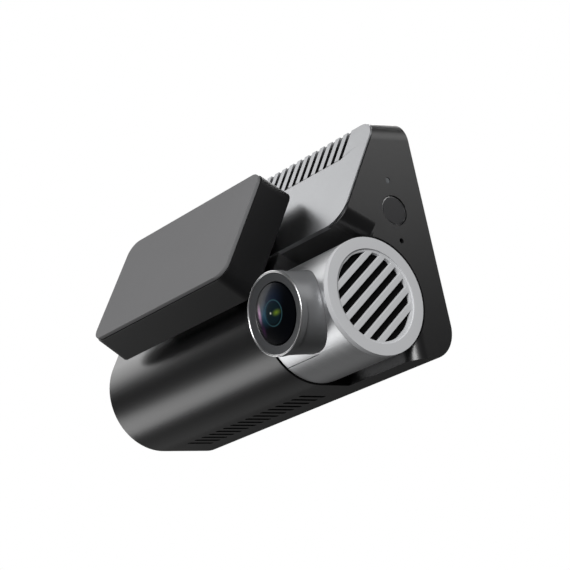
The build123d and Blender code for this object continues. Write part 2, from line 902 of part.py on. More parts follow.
def drum_end_cap():
    """Grey disc on the drum's end with slanting slots."""
    back_x = -end_cap_thickness
    recess_radius = drum_radius - end_cap_rim
    cap = rod_x(drum_radius, back_x, 0)
    cap -= rod_x(recess_radius, -end_cap_recess, spare)
    spigot_radius = drum_inner_radius - seat_gap
    spigot = rod_x(spigot_radius, back_x - end_cap_spigot, back_x)
    cap += spigot - rod_x(spigot_radius - end_cap_spigot_wall, -far, 0)
    window = rod_x(recess_radius - grille_margin, back_x - spare, spare)
    half = grille_slot_width / 2
    for k in range(grille_slot_count):
        z = (k - (grille_slot_count - 1) / 2) * grille_slot_pitch
        bar = block(back_x - spare, spare, -far, far, z - half, z + half)
        cap -= (Rot(grille_slot_angle, 0, 0) * bar) & window
    return cap


def grille_mesh():
    """Fine black mesh behind the slots."""
    radius = drum_inner_radius - seat_gap - end_cap_spigot_wall - mesh_margin
    return rod_x(radius, -end_cap_thickness - mesh_thickness, -end_cap_thickness)


def drum_pivot():
    """Hollow pivot screwed inside the drum's left wall; it turns in the bay's bush."""
    pivot = rod_x(pivot_flange_radius, pivot_seat_x, pivot_screw_seat_x)
    pivot += rod_x(pivot_neck_radius - seat_gap, drum_left_x, pivot_seat_x)
    pivot += rod_x(pivot_radius, clip_left_x - pivot_tip, drum_left_x)
    pivot -= rod_x(pivot_bore_radius, -far - body_width, 0)
    groove = rod_x(pivot_radius + spare, clip_left_x - clip_gap, clip_right_x + clip_gap)
    pivot -= groove - rod_x(clip_bore_radius, clip_left_x - spare, clip_right_x + spare)
    for y, z in pivot_screw_places:
        pivot -= rod_x(screw_radius + screw_hole_gap, pivot_seat_x - spare, 0, y, z)
    flat_y = tube_back_y + pivot_lens_gap
    return pivot - block(pivot_seat_x, 0, -far, flat_y, -far, far)


def pivot_screws():
    """Short screws that join pivot and drum."""
    screws = []
    for y, z in pivot_screw_places:
        top_x = pivot_screw_seat_x + screw_head_height
        head = rod_x(screw_head_radius, pivot_screw_seat_x, top_x, y, z)
        shank = rod_x(screw_radius, drum_left_x + screw_end_gap, pivot_screw_seat_x, y, z)
        screws.append(head + shank - Pos(top_x, y, z) * Rot(0, 90, 0) * cross_recess())
    return Compound(children=screws)


def pivot_clip():
    """Open ring that snaps into the pivot's groove."""
    ring = rod_x(clip_bore_radius + clip_width, clip_left_x, clip_right_x)
    ring -= rod_x(clip_bore_radius + seat_gap, clip_left_x - spare, clip_right_x + spare)
    half = clip_opening / 2
    return ring - block(clip_left_x - spare, clip_right_x + spare, -half, half, 0, far)


def friction_washer():
    """Spring washer that gives the drum its drag."""
    washer = rod_x(bush_radius - washer_inset, bush_left_x - washer_thickness, bush_left_x)
    return washer - rod_x(pivot_radius + washer_gap, bush_left_x - far, 0)


# ---- lens ----
def lens_tube():
    """Tube that stands out of the drum and holds the lens."""
    tube = rod_y(tube_radius, tube_front_y, tube_back_y, lens_x)
    return tube - rod_y(tube_radius - tube_wall, tube_front_y - spare, 0, lens_x)


def lens_ring():
    """Bright front ring with an inner slope down to the glass."""
    slope_height = ring_height - ring_land
    ring = rod_y(ring_radius, lens_front_y, tube_front_y, lens_x)
    ring -= rod_y(ring_bore_radius, lens_front_y - spare, tube_front_y + spare, lens_x)
    funnel = Cone(ring_bore_radius, ring_radius - ring_rim, slope_height)
    return ring - Pos(lens_x, lens_front_y + slope_height / 2, 0) * Rot(90, 0, 0) * funnel


def lens_cell():
    """Threaded cell that holds the glass stack."""
    cell = rod_y(cell_radius, cell_front_y, cell_shoulder_y, lens_x)
    cell += rod_y(cell_neck_radius, cell_shoulder_y, cell_back_y, lens_x)
    cell -= rod_y(glass_radius + glass_gap, cell_front_y - spare, cell_front_y + cell_pocket, lens_x)
    return cell - rod_y(cell_bore_radius, cell_front_y, cell_back_y + spare, lens_x)


def lens_glass(radius, rise, edge, front_y):
    """Lens element: a disc with a domed front."""
    ball_radius = (radius ** 2 + rise ** 2) / (2 * rise)
    half_turn = math.asin(radius / ball_radius) / 2
    mid = (ball_radius * math.sin(half_turn), ball_radius * (1 - math.cos(half_turn)))
    curve = ThreePointArc((0, 0), mid, (radius, rise))
    back = rise + edge
    sides = Polyline((radius, rise), (radius, back), (0, back), (0, 0))
    return Pos(lens_x, front_y, 0) * revolve(make_face(curve + sides), Axis.Y)


def lens_holder():
    """Square foot of the lens on the sensor board."""
    half = holder_size / 2
    front_y = sensor_board_y - holder_length
    foot = plate_y(
        lens_x - half, lens_x + half, -half, half, front_y, sensor_board_y, holder_corner_radius
    )
    foot -= rod_y(cell_neck_radius + seat_gap, front_y - spare, cell_back_y + filter_gap, lens_x)
    return foot - square_y(lens_x, 0, filter_size + 2 * filter_gap, cell_back_y, sensor_board_y + spare)


def heat_sink():
    """Finned plate behind the sensor board; the fins end short of the drum's inside."""
    left = pivot_screw_seat_x + screw_head_height + sink_screw_gap
    right = lens_x + sensor_board_size / 2
    half = sensor_board_size / 2 - sink_margin
    fin_y = sink_front_y + sink_plate
    sink = block(left, right, sink_front_y, fin_y, -half, half)
    reach = drum_inner_radius - sink_gap
    for k in range(sink_fin_count):
        z = (2 * k / (sink_fin_count - 1) - 1) * (half - sink_fin_thickness)
        low = z - sink_fin_thickness / 2
        high = z + sink_fin_thickness / 2
        fin_end_y = math.sqrt(reach ** 2 - max(abs(low), abs(high)) ** 2)
        sink += block(left, right, fin_y, fin_end_y, low, high)
    return sink


def camera_flex():
    """Flat cable through the hollow pivot to the sensor board."""
    right = lens_x - sensor_board_size / 2 - flex_end_gap
    half_y = flex_thickness / 2
    half_z = flex_width / 2
    return block(clip_right_x - flex_tail, right, -half_y, half_y, -half_z, half_z)


# ---- electronics ----
def main_board():
    """Main circuit board in the screen part's left two thirds."""
    board = block(board_left_x, board_right_x, board_front_y, board_back_y, board_low_z, board_high_z)
    for x, z in board_screw_points:
        board -= rod_y(screw_radius + screw_hole_gap, 0, back_y, x, z)
    for x, z in rear_screw_places:
        half = boss_radius + boss_gap
        board -= block(x - half, x + half, 0, back_y, -far, z + half)
    return board


def board_part(x, z, width, height, depth, y_back):
    """A block-shaped component on the board's front."""
    return block(x - width / 2, x + width / 2, y_back - depth, y_back, z - height / 2, z + height / 2)


def port_socket(z):
    """USB-C socket: a metal sleeve with a tongue in it."""
    x0 = left_x + port_recess
    x1 = x0 + port_depth
    half_tongue = port_tongue_width / 2
    half_thick = port_tongue_thickness / 2
    half_foot = port_foot_width / 2
    sleeve = port_bar(0, x0, x1, z)
    sleeve -= port_bar(-port_wall, x0 - spare, x1 - port_wall, z)
    tongue_x = x0 + port_tongue_recess
    sleeve += block(tongue_x, x1, port_y - half_thick, port_y + half_thick, z - half_tongue, z + half_tongue)
    foot_y = port_y + port_height / 2 - port_wall
    return sleeve + block(x0 + port_foot_recess, x1, foot_y, board_front_y, z - half_foot, z + half_foot)


def card_socket():
    """Metal box on the board that takes the memory card."""
    x0 = inner_left_x + card_socket_gap
    stop_x = left_x + card_recess + card_length + card_stop_gap
    half_z = card_width / 2 + card_gap + card_socket_wall
    y0 = port_y - card_thickness / 2 - card_gap - card_socket_wall
    x1 = stop_x + card_socket_back
    box = block(x0, x1, y0, board_front_y, card_z - half_z, card_z + half_z)
    return box - card_bar(card_gap, x0 - spare, stop_x)


def memory_card():
    """Memory card, just inside the left end."""
    return card_bar(0, left_x + card_recess, left_x + card_recess + card_length)


def key_switches():
    """Push switches on the back of the board, one behind each rear button."""
    stop_y = rear_cover_y - seat_gap - button_flange - button_travel - switch_gap
    body_y = stop_y - switch_plunger_height
    switches = []
    for k in range(button_count):
        x = button_first_x + k * button_pitch
        body = square_y(x, button_z, switch_size, board_back_y, body_y)
        switches.append(body + rod_y(switch_plunger_radius, body_y, stop_y, x, button_z))
    return Compound(children=switches)


def board_screws():
    """Three screws that hold the main board."""
    screws = []
    for x, z in board_screw_points:
        length = board_screw_length + board_thickness - screw_end_gap
        screws.append(screw_y(x, z, board_back_y, length))
    return Compound(children=screws)


def rear_screws():
    """Two screws through the rear cover."""
    screws = []
    for x, z in rear_screw_places:
        length = rear_screw_length + housing_wall - screw_head_height - screw_end_gap
        screws.append(screw_y(x, z, back_y - screw_head_height, length))
    return Compound(children=screws)


def display_flex():
    """Flat cable between the display and the main board."""
    half = display_flex_width / 2
    z = screen_low_z + display_flex_rise
    return block(
        left_x / 2 - half,
        left_x / 2 + half,
        board_back_y,
        display_tray_y - display_flex_gap,
        z,
        z + flex_thickness,
    )


def side_board():
    """Small upright board behind the power button, status light and microphone."""
    back_x = side_board_x - board_thickness
    half = side_board_width / 2
    board = block(
        back_x,
        side_board_x,
        side_feature_y - half,
        side_feature_y + half,
        side_board_low_z,
        side_board_high_z,
    )
    return board - rod_x(bay_radius + housing_wall + side_board_gap, back_x - spare, 0)


def power_button():
    """Round button in the right end, with a flange inside."""
    face_x = -power_button_recess
    stem = rod_x(power_button_radius, face_x - power_button_depth, face_x, side_feature_y, power_button_z)
    flange_x = inner_right_x - seat_gap
    flange_radius = power_button_radius + power_button_flange_overhang
    return stem + rod_x(
        flange_radius, flange_x - power_button_flange, flange_x, side_feature_y, power_button_z
    )


def power_switch():
    """Push switch under the power button."""
    stop_x = -power_button_recess - power_button_depth - power_button_travel - switch_gap
    body_x = stop_x - switch_plunger_height
    half = switch_size / 2
    body = block(
        side_board_x,
        body_x,
        side_feature_y - half,
        side_feature_y + half,
        power_button_z - half,
        power_button_z + half,
    )
    return body + rod_x(switch_plunger_radius, body_x, stop_x, side_feature_y, power_button_z)


def status_light():
    """Light guide from the lamp on the side board out to the right end."""
    lamp_x = side_board_x + status_light_lamp
    return rod_x(status_light_radius, lamp_x, -status_light_recess, side_feature_y, status_light_z)


def microphone():
    """Microphone on the side board, behind its hole."""
    front_x = inner_right_x - microphone_gap
    return rod_x(microphone_radius, side_board_x, front_x, side_feature_y, microphone_z)


def speaker():
    """Round speaker over the underside slots."""
    low = foot_z + housing_wall + speaker_gap
    case = rod_z(speaker_radius, low, low + speaker_depth, speaker_x, speaker_y)
    return case - rod_z(speaker_radius - speaker_rim, low - spare, low + speaker_dish, speaker_x, speaker_y)


capacitors = []
for y, z in capacitor_centres:
    capacitors.append(rod_x(capacitor_radius, capacitor_right_x - capacitor_length, capacitor_right_x, y, z))

pieces = {
    "main_housing": main_housing(),
    "rear_cover": rear_cover(),
    "vent_cover": vent_cover(),
    "screen_glass": screen_glass(),
    "display_panel": screen_part(display_inset, display_front_y, screen_seat_y),
    "display_tray": screen_part(display_inset, display_tray_y, display_front_y),
    "mount_rail": mount_rail(),
    "rail_screws": rail_screws(),
    "mount_block": mount_block(),
    "mount_lid": mount_lid(),
    "mount_screws": mount_screws(),
    "adhesive_pad": adhesive_pad(),
    "drum_shell": drum_shell(),
    "drum_panel": drum_panel(),
    "drum_end_cap": drum_end_cap(),
    "grille_mesh": grille_mesh(),
    "drum_pivot": drum_pivot(),
    "pivot_screws": pivot_screws(),
    "pivot_clip": pivot_clip(),
    "friction_washer": friction_washer(),
    "lens_tube": lens_tube(),
    "lens_ring": lens_ring(),
    "lens_cell": lens_cell(),
    "front_glass": lens_glass(glass_radius, front_glass_rise, front_glass_edge, front_glass_y),
    "second_glass": lens_glass(
        cell_bore_radius - glass_gap, inner_glass_rise, inner_glass_edge, front_glass_y + second_glass_drop
    ),
    "rear_glass": lens_glass(
        cell_bore_radius - glass_gap, inner_glass_rise, inner_glass_edge, cell_back_y - rear_glass_drop
    ),
    "lens_holder": lens_holder(),
    "infrared_filter": square_y(
        lens_x, 0, filter_size, cell_back_y + filter_gap, cell_back_y + filter_gap + filter_thickness
    ),
    "image_sensor": square_y(lens_x, 0, sensor_size, sensor_front_y, sensor_board_y),
    "sensor_board": square_y(lens_x, 0, sensor_board_size, sensor_board_y, sensor_back_y),
    "sensor_pad": square_y(
        lens_x, 0, sensor_board_size - 2 * sensor_pad_inset, sensor_back_y, sink_front_y
    ),
    "sensor_heat_sink": heat_sink(),
    "camera_flex": camera_flex(),
    "main_board": main_board(),
    "processor": board_part(
        processor_x, processor_z, processor_size, processor_size, processor_height, board_front_y
    ),
    "processor_pad": board_part(
        processor_x, processor_z, processor_size, processor_size, thermal_pad_thickness, processor_front_y
    ),
    "heat_spreader": board_part(
        processor_x, processor_z, spreader_size, spreader_size, spreader_thickness, processor_pad_y
    ),
    "satellite_antenna": board_part(
        satellite_x, satellite_z, satellite_size, satellite_size, satellite_height, board_front_y
    ),
    "wireless_module": board_part(
        left_x + wireless_from_left,
        wireless_z,
        wireless_width,
        wireless_height,
        wireless_thickness,
        board_front_y,
    ),
    "backup_capacitors": Compound(children=capacitors),
    "speaker": speaker(),
    "power_port": port_socket(power_port_z),
    "rear_camera_port": port_socket(rear_camera_port_z),
    "card_socket": card_socket(),
    "memory_card": memory_card(),
    "key_switches": key_switches(),
    "display_flex": display_flex(),
    "side_board": side_board(),
    "power_button": power_button(),
    "power_switch": power_switch(),
    "status_light": status_light(),
    "microphone": microphone(),
    "board_screws": board_screws(),
    "rear_screws": rear_screws(),
}
for k in range(button_count):
    pieces[f"rear_button_{k + 1}"] = rear_button(k)

os.makedirs("parts", exist_ok=True)
for name, shape in pieces.items():
    export_step(Pos(-origin.X, -origin.Y, -origin.Z) * shape, f"parts/{name}.step")
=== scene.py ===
import json
import math

import bmesh
import bpy
from mathutils import Matrix, Vector

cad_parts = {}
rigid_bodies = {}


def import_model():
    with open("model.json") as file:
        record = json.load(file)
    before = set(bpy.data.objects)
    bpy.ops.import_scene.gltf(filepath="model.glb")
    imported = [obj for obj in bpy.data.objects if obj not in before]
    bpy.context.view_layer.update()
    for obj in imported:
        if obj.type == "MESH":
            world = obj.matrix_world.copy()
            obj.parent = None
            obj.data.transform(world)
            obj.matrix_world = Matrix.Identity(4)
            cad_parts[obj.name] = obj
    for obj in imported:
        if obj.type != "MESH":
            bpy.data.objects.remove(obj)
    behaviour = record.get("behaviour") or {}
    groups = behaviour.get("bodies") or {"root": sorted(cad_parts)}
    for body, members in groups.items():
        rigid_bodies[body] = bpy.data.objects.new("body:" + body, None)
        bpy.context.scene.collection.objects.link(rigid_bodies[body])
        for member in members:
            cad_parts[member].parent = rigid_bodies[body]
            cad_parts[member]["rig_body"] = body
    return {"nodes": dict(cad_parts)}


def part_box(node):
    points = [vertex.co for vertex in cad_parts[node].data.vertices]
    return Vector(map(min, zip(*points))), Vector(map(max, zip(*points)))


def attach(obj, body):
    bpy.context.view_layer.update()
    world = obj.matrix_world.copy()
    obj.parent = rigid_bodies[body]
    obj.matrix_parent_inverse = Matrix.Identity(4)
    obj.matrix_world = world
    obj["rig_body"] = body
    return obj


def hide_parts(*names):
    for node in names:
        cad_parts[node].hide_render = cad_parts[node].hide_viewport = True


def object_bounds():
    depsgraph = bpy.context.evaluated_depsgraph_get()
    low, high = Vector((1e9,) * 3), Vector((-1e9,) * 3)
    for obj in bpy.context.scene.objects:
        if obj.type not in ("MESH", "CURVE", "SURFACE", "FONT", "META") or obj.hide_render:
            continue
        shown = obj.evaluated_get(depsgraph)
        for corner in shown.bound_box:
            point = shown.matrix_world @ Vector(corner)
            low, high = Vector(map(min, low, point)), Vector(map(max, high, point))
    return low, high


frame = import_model()
cad_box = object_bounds()
nodes = frame["nodes"]
MM = 0.001

# ---- View ----
# The camera hangs from a windscreen, so it is seen from the front right and from a little below.
camera_data = bpy.data.cameras.new("view")
camera_data.sensor_width = 36.0
camera_data.lens = 119.93
camera_data.clip_start = 0.01
camera = bpy.data.objects.new("view", camera_data)
right = Vector((0.6024967, 0.77172813, -0.20355199))
up = Vector((0.29893353, 0.01827364, 0.95409896))
towards_viewer = right.cross(up)
turn = Matrix((right, up, towards_viewer)).transposed().to_4x4()
camera.matrix_world = Matrix.Translation((0.345467, -0.264789, -0.109896)) @ turn
bpy.context.scene.collection.objects.link(camera)
bpy.context.scene.camera = camera

# ---- Studio ----
# Soft panels at the left, one low and one high, are what the barrel and the drum mirror as long
# bands. A key at the right lights the right end, a weak panel fills the underside, and two panels
# behind lift the back and the right edge. Each is (direction, distance, (length, height), watts).
middle = (cad_box[0] + cad_box[1]) / 2
panels = {
    "low_front_panel": ((-0.78, -0.40, -0.49), 0.42, (0.40, 0.17), 0.46),
    "high_front_panel": ((-0.75, -0.16, 0.64), 0.50, (0.44, 0.38), 1.05),
    "under_panel": ((-0.73, 0.35, -0.58), 0.40, (0.40, 0.20), 0.03),
    "right_back_panel": ((0.60, 0.62, 0.50), 0.55, (0.30, 0.28), 0.35),
    "key_panel": ((0.62, -0.72, 0.30), 0.80, (0.45, 0.45), 6.6),
    "back_panel": ((-0.35, 0.85, 0.35), 0.80, (0.50, 0.50), 4.0),
}
for name, (direction, distance, (length, height), watts) in panels.items():
    light_data = bpy.data.lights.new(name, "AREA")
    light_data.shape = "RECTANGLE"
    light_data.size = length
    light_data.size_y = height
    light_data.energy = watts
    light = bpy.data.objects.new(name, light_data)
    outward = Vector(direction).normalized()
    along = (Vector((1, 0, 0)) - outward * outward.x).normalized()
    facing = Matrix((along, outward.cross(along), outward)).transposed().to_4x4()
    light.matrix_world = Matrix.Translation(middle + outward * distance) @ facing
    light.visible_camera = False
    bpy.context.scene.collection.objects.link(light)


def linear(hex_colour):
    """An sRGB hex colour as linear RGBA."""
    parts = [int(hex_colour[k:k + 2], 16) / 255 for k in (1, 3, 5)]
    return tuple(c / 12.92 if c < 0.04045 else ((c + 0.055) / 1.055) ** 2.4 for c in parts) + (1,)


def add(tree, kind, links=(), **settings):
    """Adds a node. links are (input, output socket); settings are inputs or attributes."""
    node = tree.nodes.new(kind)
    for name, value in settings.items():
        if name in node.inputs:
            node.inputs[name].default_value = value
        else:
            setattr(node, name, value)
    for name, socket in links:
        tree.links.new(socket, node.inputs[name])
    return node


world = bpy.data.worlds.new("studio")
bpy.context.scene.world = world
world.use_nodes = True
tree = world.node_tree
tree.nodes.clear()
white_seen = add(tree, "ShaderNodeBackground", Color=linear("#ffffff"), Strength=1.0)
white_cast = add(tree, "ShaderNodeBackground", Color=linear("#ffffff"), Strength=0.045)
ray = add(tree, "ShaderNodeLightPath")
choice = add(tree, "ShaderNodeMixShader", [
    (0, ray.outputs["Is Camera Ray"]),
    (1, white_cast.outputs[0]),
    (2, white_seen.outputs[0]),
])
add(tree, "ShaderNodeOutputWorld", [("Surface", choice.outputs[0])])
bpy.context.scene.view_settings.view_transform = "Standard"

floor_mesh = bpy.data.meshes.new("floor")
bm = bmesh.new()
floor_half_width = 3.0
floor_z = -0.34
bmesh.ops.create_grid(bm, x_segments=1, y_segments=1, size=floor_half_width)
bmesh.ops.translate(bm, vec=(0, 0, floor_z), verts=bm.verts)
bm.to_mesh(floor_mesh)
bm.free()
floor = bpy.data.objects.new("floor", floor_mesh)
bpy.context.scene.collection.objects.link(floor)
floor_paint = bpy.data.materials.new("pale_matt_paint")
floor_paint.use_nodes = True
tree = floor_paint.node_tree
tree.nodes.clear()
paint = add(tree, "ShaderNodeBsdfPrincipled", Roughness=0.9)
paint.inputs["Base Color"].default_value = linear("#e4e4e4")
paint.inputs["Emission Color"].default_value = linear("#ffffff")
paint.inputs["Emission Strength"].default_value = 0.5
add(tree, "ShaderNodeOutputMaterial", [("Surface", paint.outputs[0])])
floor_mesh.materials.append(floor_paint)
floor.visible_glossy = False
floor.visible_diffuse = False

# ---- Housing ----
# The shell is injection-moulded PC/ABS, black, from a spark-eroded tool: a fine even grain
# that turns highlights into broad soft bands. Edges are eased by the mould.


merge_mm = 0.002
flat_degrees = 0.3         # faces nearer than this to one plane are joined
edge_degrees = 28.0        # edges sharper than this are eased
smooth_degrees = 32.0      # edges sharper than this stay crisp in the shading


def eased_copy(name, width_mm, shortest_mm=0.0):
    """A copy of a CAD node's mesh with its sharp edges rounded, but for edges that are very short."""
    mesh = nodes[name].data.copy()
    mesh.name = name + "_eased"
    mesh.materials.clear()
    bm = bmesh.new()
    bm.from_mesh(mesh)
    bmesh.ops.remove_doubles(bm, verts=bm.verts, dist=merge_mm * MM)
    bmesh.ops.dissolve_limit(
        bm, angle_limit=math.radians(flat_degrees), verts=bm.verts, edges=bm.edges,
        use_dissolve_boundaries=False,
    )
    edges = [
        e for e in bm.edges
        if len(e.link_faces) == 2
        and e.calc_face_angle(0.0) > math.radians(edge_degrees)
        and e.calc_length() > shortest_mm * MM
    ]
    bmesh.ops.bevel(
        bm, geom=edges, offset=width_mm * MM, affect="EDGES", segments=2, profile=0.5,
        clamp_overlap=True, material=-1, offset_type="OFFSET",
    )
    bmesh.ops.triangulate(bm, faces=[f for f in bm.faces if len(f.verts) > 4])
    bm.to_mesh(mesh)
    bm.free()
    for face in mesh.polygons:
        face.use_smooth = True
    mesh.set_sharp_from_angle(angle=math.radians(smooth_degrees))
    piece = bpy.data.objects.new(name + "_eased", mesh)
    flats = piece.modifiers.new("flats", "WEIGHTED_NORMAL")
    flats.keep_sharp = True
    bpy.context.scene.collection.objects.link(piece)
    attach(piece, nodes[name]["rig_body"])
    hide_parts(name)
    return piece


gloss_spread = 0.05         # roughness either side of the middle value


def finish(name, hex_colour, rough, grain_mm, depth_mm, metal=0.0, tint=0.08, patch_mm=9.0, coat=0.0,
           specular=0.5):
    """A surface of even fine grain: slow patches of tone, a slight spread of gloss, and the grain."""
    material = bpy.data.materials.new(name)
    material.use_nodes = True
    tree = material.node_tree
    tree.nodes.clear()
    where = add(tree, "ShaderNodeTexCoord").outputs["Object"]
    patches = add(tree, "ShaderNodeTexNoise", [("Vector", where)], Scale=1 / (patch_mm * MM), Detail=4.0)
    grain = add(tree, "ShaderNodeTexNoise", [("Vector", where)], Scale=1 / (grain_mm * MM), Detail=2.0)
    colour = linear(hex_colour)
    tone = add(tree, "ShaderNodeMix", [("Factor", patches.outputs["Fac"])], data_type="RGBA")
    dark_input = 6
    light_input = 7
    tone.inputs[dark_input].default_value = tuple(c * (1 - tint) for c in colour[:3]) + (1,)
    tone.inputs[light_input].default_value = tuple(min(1.0, c * (1 + tint)) for c in colour[:3]) + (1,)
    gloss = add(tree, "ShaderNodeMapRange", [("Value", grain.outputs["Fac"])])
    gloss.inputs["To Min"].default_value = rough - gloss_spread
    gloss.inputs["To Max"].default_value = rough + gloss_spread
    bump = add(tree, "ShaderNodeBump", [("Height", grain.outputs["Fac"])], Strength=0.5,
               Distance=depth_mm * MM)
    shader = add(tree, "ShaderNodeBsdfPrincipled", [
        ("Base Color", tone.outputs[2]),
        ("Roughness", gloss.outputs["Result"]),
        ("Normal", bump.outputs["Normal"]),
    ])
    shader.inputs["Metallic"].default_value = metal
    shader.inputs["Coat Weight"].default_value = coat
    shader.inputs["Coat Roughness"].default_value = rough
    shader.inputs["Specular IOR Level"].default_value = specular
    add(tree, "ShaderNodeOutputMaterial", [("Surface", shader.outputs["BSDF"])])
    return material


housing_black = finish(
    "spark_grained_black_abs", "#101011", rough=0.34, grain_mm=0.25, depth_mm=0.004, coat=0.25, specular=0.8
)
housing = eased_copy("main_housing", 0.22, shortest_mm=0.3)
housing.data.materials.append(housing_black)

# ---- Vent cover ----
# A 1 mm sheet of aluminium, slotted, then bead blasted and anodised silver, let into the
# slanted front. The slots' punched edges are slightly rounded.
cover_silver = finish(
    "bead_blasted_silver_anodised_aluminium", "#8b8c8e", rough=0.32, grain_mm=0.22, depth_mm=0.006, metal=1.0,
    tint=0.04,
)
cover = eased_copy("vent_cover", 0.12)
cover.data.materials.append(cover_silver)

# ---- Windscreen mount ----
# Black ABS tray with a lid, both moulded, a little duller than the housing.
mount_black = finish(
    "fine_grained_black_abs", "#101011", rough=0.5, grain_mm=0.25, depth_mm=0.006, specular=0.3
)
mount = eased_copy("mount_block", 0.3)
mount.data.materials.append(mount_black)

# The pad is closed-cell acrylic foam tape under a grey release film.
pad_grey = finish(
    "grey_film_on_foam_tape", "#757576", rough=0.9, grain_mm=0.5, depth_mm=0.010, tint=0.03, patch_mm=14.0,
    specular=0.1,
)
pad = eased_copy("adhesive_pad", 0.2)
pad.data.materials.append(pad_grey)

# ---- Drum ----
# Aluminium, turned and left satin. Fine marks run round the barrel, so a highlight spreads along
# it. The shell and the small panel beside the lens tube share it.
drum_metal = bpy.data.materials.new("turned_satin_aluminium")
drum_metal.use_nodes = True
tree = drum_metal.node_tree
tree.nodes.clear()
where = add(tree, "ShaderNodeTexCoord").outputs["Object"]
around = add(tree, "ShaderNodeMapping", [("Vector", where)])
around.inputs["Scale"].default_value = (1 / (0.12 * MM), 1 / (14 * MM), 1 / (14 * MM))
marks = add(tree, "ShaderNodeTexNoise", [("Vector", around.outputs[0])], Scale=1.0, Detail=4.0)
gloss = add(tree, "ShaderNodeMapRange", [("Value", marks.outputs["Fac"])])
gloss.inputs["To Min"].default_value = 0.36
gloss.inputs["To Max"].default_value = 0.48
tone = add(tree, "ShaderNodeValToRGB", [("Fac", marks.outputs["Fac"])])
tone.color_ramp.elements[0].color = linear("#cbccce")
tone.color_ramp.elements[1].color = linear("#dedfe0")
bump = add(tree, "ShaderNodeBump", [("Height", marks.outputs["Fac"])], Strength=0.25, Distance=0.004 * MM)
shader = add(tree, "ShaderNodeBsdfPrincipled", [
    ("Base Color", tone.outputs["Color"]),
    ("Roughness", gloss.outputs["Result"]),
    ("Normal", bump.outputs["Normal"]),
], Metallic=1.0)
add(tree, "ShaderNodeOutputMaterial", [("Surface", shader.outputs["BSDF"])])
for name in ("drum_shell", "drum_panel"):
    skin = eased_copy(name, 0.12)
    skin.data.materials.append(drum_metal)

# ---- Drum end cap ----
# Light grey ABS, moulded with a matt face. It closes the drum's end. Its slots are open, and
# black mesh lies behind them.
cap_grey = finish(
    "matt_light_grey_abs", "#cdced0", rough=0.7, grain_mm=0.3, depth_mm=0.006, tint=0.03, specular=0.2
)
cap = eased_copy("drum_end_cap", 0.16)
cap.data.materials.append(cap_grey)
mesh_black = finish(
    "black_woven_mesh", "#030303", rough=0.8, grain_mm=0.35, depth_mm=0.08, tint=0.5, patch_mm=0.5,
    specular=0.1,
)
nodes["grille_mesh"].data.materials.clear()
nodes["grille_mesh"].data.materials.append(mesh_black)

# ---- Lens tube ----
# Aluminium, milled, bead blasted and anodised grey. The anodising dulls the metal, so it is
# only partly metallic.
tube_metal = finish(
    "dark_anodised_aluminium", "#858688", rough=0.34, grain_mm=0.2, depth_mm=0.005, metal=0.35, tint=0.05,
    specular=0.6,
)
tube = eased_copy("lens_tube", 0.15)
tube.data.materials.append(tube_metal)


def turned(name, profile, axis_x, axis_z, steps=96):
    """A turned piece: a closed profile of (radius, y) points spun about a line along Y."""
    bm = bmesh.new()
    ring = [bm.verts.new((radius, y, 0)) for radius, y in profile]
    edges = [bm.edges.new((ring[k - 1], ring[k])) for k in range(len(ring))]
    bmesh.ops.spin(
        bm, geom=ring + edges, cent=(0, 0, 0), axis=(0, 1, 0), angle=2 * math.pi, steps=steps, use_merge=True,
    )
    bmesh.ops.remove_doubles(bm, verts=bm.verts, dist=0.001 * MM)
    bmesh.ops.recalc_face_normals(bm, faces=bm.faces)
    bmesh.ops.translate(bm, vec=(axis_x, 0, axis_z), verts=bm.verts)
    mesh = bpy.data.meshes.new(name)
    bm.to_mesh(mesh)
    bm.free()
    for face in mesh.polygons:
        face.use_smooth = True
    mesh.set_sharp_from_angle(angle=math.radians(smooth_degrees))
    piece = bpy.data.objects.new(name, mesh)
    bpy.context.scene.collection.objects.link(piece)
    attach(piece, "drum")
    return piece


# ---- Lens ring ----
# Aluminium, turned, with a rounded lip that is polished bright. The slope from the lip down to
# the glass is anodised dark grey, and the side is finished as the tube is.
low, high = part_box("lens_ring")
lens_x = (low.x + high.x) / 2
lens_z = (low.z + high.z) / 2
ring_outer = (high.x - low.x) / 2
ring_bore = ring_outer - 2.42 * MM
front = low.y
back = high.y
lip = 0.26 * MM
slope_depth = 0.5 * MM
lip_steps = 8
lip_points = []
for k in range(lip_steps + 1):
    angle = math.pi * k / lip_steps
    lip_points.append((ring_outer - lip + lip * math.cos(angle), front + lip - lip * math.sin(angle)))
ring_profile = [(ring_outer, back)] + lip_points + [
    (ring_bore + 0.08 * MM, front + slope_depth),
    (ring_bore, front + slope_depth + 0.08 * MM),
    (ring_bore, back),
]
ring = turned("lens_ring_turned", ring_profile, lens_x, lens_z)
polished = finish(
    "polished_aluminium", "#e2e2e3", rough=0.3, grain_mm=0.3, depth_mm=0.0001, metal=1.0, tint=0.02
)
slope_grey = finish(
    "dark_grey_anodised_slope", "#38393b", rough=0.45, grain_mm=0.2, depth_mm=0.005, tint=0.05
)
ring.data.materials.append(polished)
ring.data.materials.append(slope_grey)
ring.data.materials.append(tube_metal)
for face in ring.data.polygons:
    reach = math.hypot(face.center.x - lens_x, face.center.z - lens_z)
    if face.center.y > front + 1.2 * lip and reach > ring_outer - lip:
        face.material_index = 2
    elif reach < ring_outer - 2 * lip:
        face.material_index = 1
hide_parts("lens_ring")

